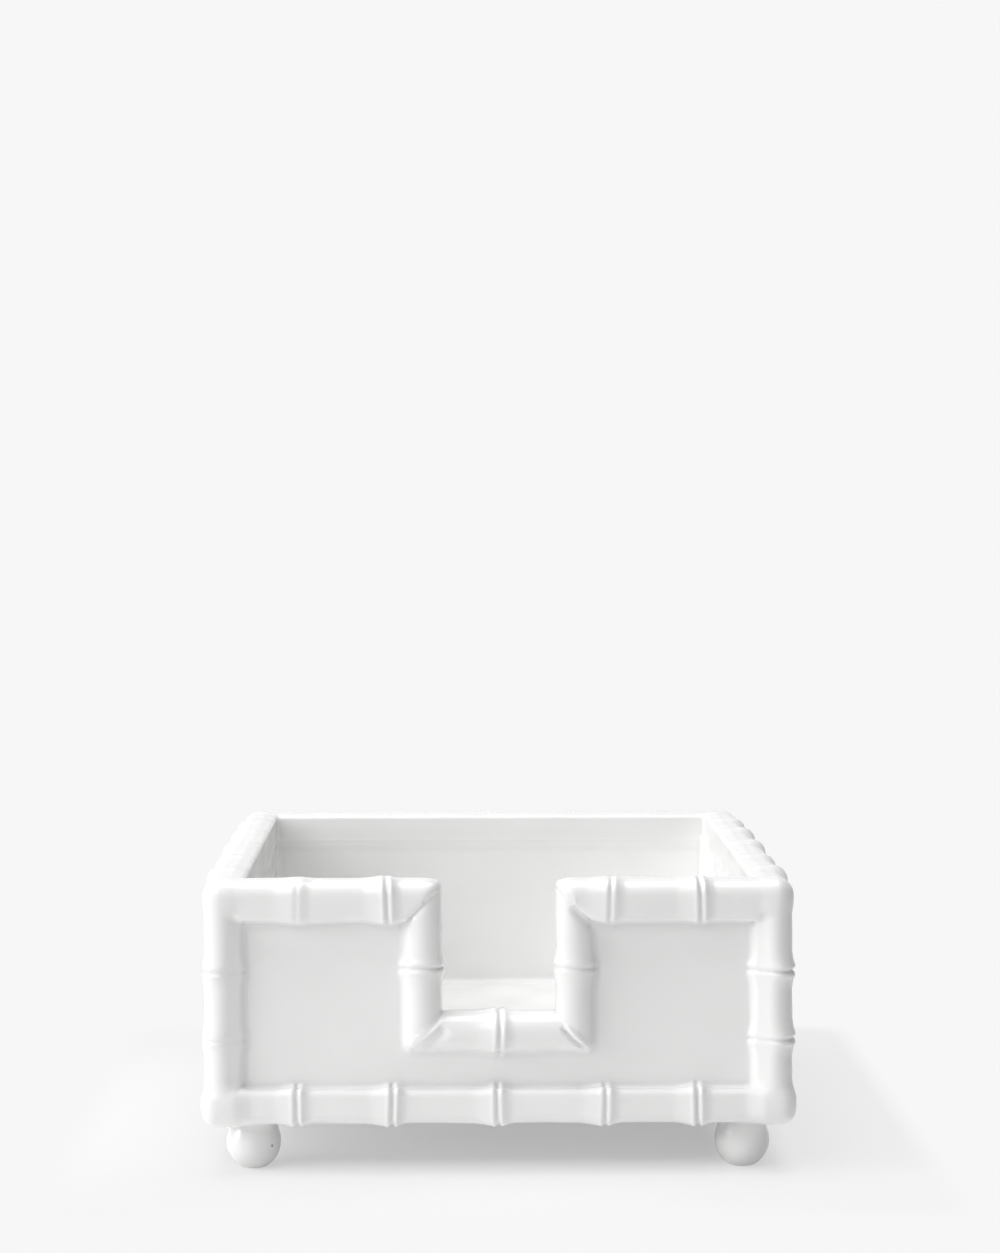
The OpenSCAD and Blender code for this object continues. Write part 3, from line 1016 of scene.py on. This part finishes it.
def glaze_material():
    """Glossy white glaze: painted shade makes it greyer in its hollows, with a faint orange peel and uneven
    sheen.
    """
    material = bpy.data.materials.new("white_glaze")
    tree = nodes_of(material)
    at = add(tree, "ShaderNodeTexCoord").outputs["Object"]
    painted_crease_shade = add(tree, "ShaderNodeAttribute", attribute_name=CREASE_SHADE_MARK).outputs["Fac"]
    cloud = spread(tree, noise(tree, at, CLOUD), NOISE_LOW, NOISE_HIGH, 0.0, 1.0)
    tone = blend_colours(tree, cloud, GLAZE_THIN, GLAZE_WHITE)
    # Painted shade: the glaze turns greyer in hollows and creases
    tone = blend_colours(tree, spread(tree, painted_crease_shade, 0.0, 1.0, 0.0, 1.0), tone, GLAZE_CREASE_SHADE)
    speck = near_point(tree, at, KILN_SPECK, SPECK_INNER, SPECK_OUTER)
    ragged = spread(tree, noise(tree, at, RAGGED), NOISE_LOW, RAGGED_HIGH, RAGGED_LEAST, 1.0)
    tone = blend_colours(tree, maths(tree, "MULTIPLY", speck, ragged), tone, SPECK_TONE)
    rough = spread(tree, noise(tree, at, PATCHES), NOISE_LOW, NOISE_HIGH, ROUGH_LOW, ROUGH_HIGH)
    ripple = embossed(tree, noise(tree, at, RIPPLE), RIPPLE_STRENGTH, RIPPLE_HEIGHT)
    peel = embossed(tree, noise(tree, at, PEEL), PEEL_STRENGTH, PEEL_HEIGHT, ripple)
    inputs = {"Base Color": tone, "Roughness": rough, "IOR": GLAZE_IOR, "Normal": peel}
    shader = add(tree, "ShaderNodeBsdfPrincipled", inputs)
    add(tree, "ShaderNodeOutputMaterial", {"Surface": shader.outputs[0]})
    return material


def seen_directly(tree):
    """1 for rays that show the background itself: from the camera, in reflections and through glass."""
    rays = add(tree, "ShaderNodeLightPath").outputs
    some = maths(tree, "MAXIMUM", rays["Is Camera Ray"], rays["Is Glossy Ray"])
    return maths(tree, "MAXIMUM", some, rays["Is Transmission Ray"])


def floor_material():
    """Pale table top that takes the holder's shadow, lightened by a painted glow that is weaker under the
    tray than beside it, and turns into the plain background further out.
    """
    material = bpy.data.materials.new("pale_floor")
    tree = nodes_of(material)
    at = add(tree, "ShaderNodeTexCoord").outputs["Object"]
    axes = add(tree, "ShaderNodeSeparateXYZ", {0: at}).outputs
    along = [maths(tree, "ABSOLUTE", axes[i]) for i in (0, 1)]
    # Painted light: the background's glow lightens the cast shadow, less under the tray than beside it
    reach = maths(tree, "SMOOTH_MAX", along[0], along[1], FOOTPRINT_SOFT * MM)
    rise = spread(tree, reach, FOOTPRINT_IN * MM, FOOTPRINT_OUT * MM, SHADOW_UNDER, SHADOW_BESIDE)
    fade = spread(tree, reach, FLOOR_NEAR * MM, FLOOR_FAR * MM, 0.0, 1.0)
    share = maths(tree, "MULTIPLY", maths(tree, "MAXIMUM", rise, fade), seen_directly(tree))
    # Painted shade: the floor is darker towards the lamps on the left, evening out their light
    across = spread(tree, axes[0], -FLOOR_TURN * MM, FLOOR_TURN * MM, 0.0, 1.0)
    tone = blend_colours(tree, across, FLOOR_SHADED_LEFT, FLOOR_RIGHT)
    tone = blend_colours(tree, seen_directly(tree), FLOOR_BOUNCE, tone)
    diffuse = add(tree, "ShaderNodeBsdfDiffuse", {"Color": tone})
    glow = add(tree, "ShaderNodeEmission", {"Color": BACKGROUND, "Strength": 1.0})
    surface = add(tree, "ShaderNodeMixShader", {0: share, 1: diffuse.outputs[0], 2: glow.outputs[0]})
    add(tree, "ShaderNodeOutputMaterial", {"Surface": surface.outputs[0]})
    return material


def make_world():
    world = bpy.data.worlds.new("studio")
    bpy.context.scene.world = world
    tree = nodes_of(world)
    tone = blend_colours(tree, seen_directly(tree), AMBIENT, BACKGROUND)
    back = add(tree, "ShaderNodeBackground", {"Color": tone, "Strength": 1.0})
    add(tree, "ShaderNodeOutputWorld", {"Surface": back.outputs[0]})


def make_floor():
    bm = bmesh.new()
    bmesh.ops.create_grid(bm, x_segments=FLOOR_PANES, y_segments=FLOOR_PANES, size=FLOOR_SIZE / 2)
    mesh = bpy.data.meshes.new("floor")
    bm.to_mesh(mesh)
    bm.free()
    floor = link("floor", mesh)
    floor.data.materials.append(floor_material())


def make_lamp(name, at, size, watts):
    lamp = bpy.data.lights.new(name, "AREA")
    lamp.shape = "RECTANGLE"
    lamp.size, lamp.size_y = size
    lamp.energy = watts
    holder = link(name, lamp)
    holder.location = at
    holder.rotation_euler = (Vector(LAMP_AIM) - Vector(at)).to_track_quat("-Z", "Y").to_euler()


def make_camera():
    camera = bpy.data.cameras.new("camera")
    camera.sensor_fit = "HORIZONTAL"
    camera.sensor_width = CAMERA_SENSOR
    camera.lens = CAMERA_LENS
    camera.shift_y = CAMERA_SHIFT
    holder = link("camera", camera)
    holder.location = CAMERA_AT
    holder.rotation_euler = (math.radians(CAMERA_LEVEL), 0.0, -math.radians(CAMERA_TURN))
    bpy.context.scene.camera = holder


bpy.context.scene.view_settings.view_transform = "Standard"
make_camera()
make_world()
make_floor()
for name, (at, size, watts) in LAMPS.items():
    make_lamp(name, at, size, watts)

glaze = glaze_material()
for node, piece in make_body().items():
    piece.data.materials.clear()
    piece.data.materials.append(glaze)
    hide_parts(node)
    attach(piece, "root")
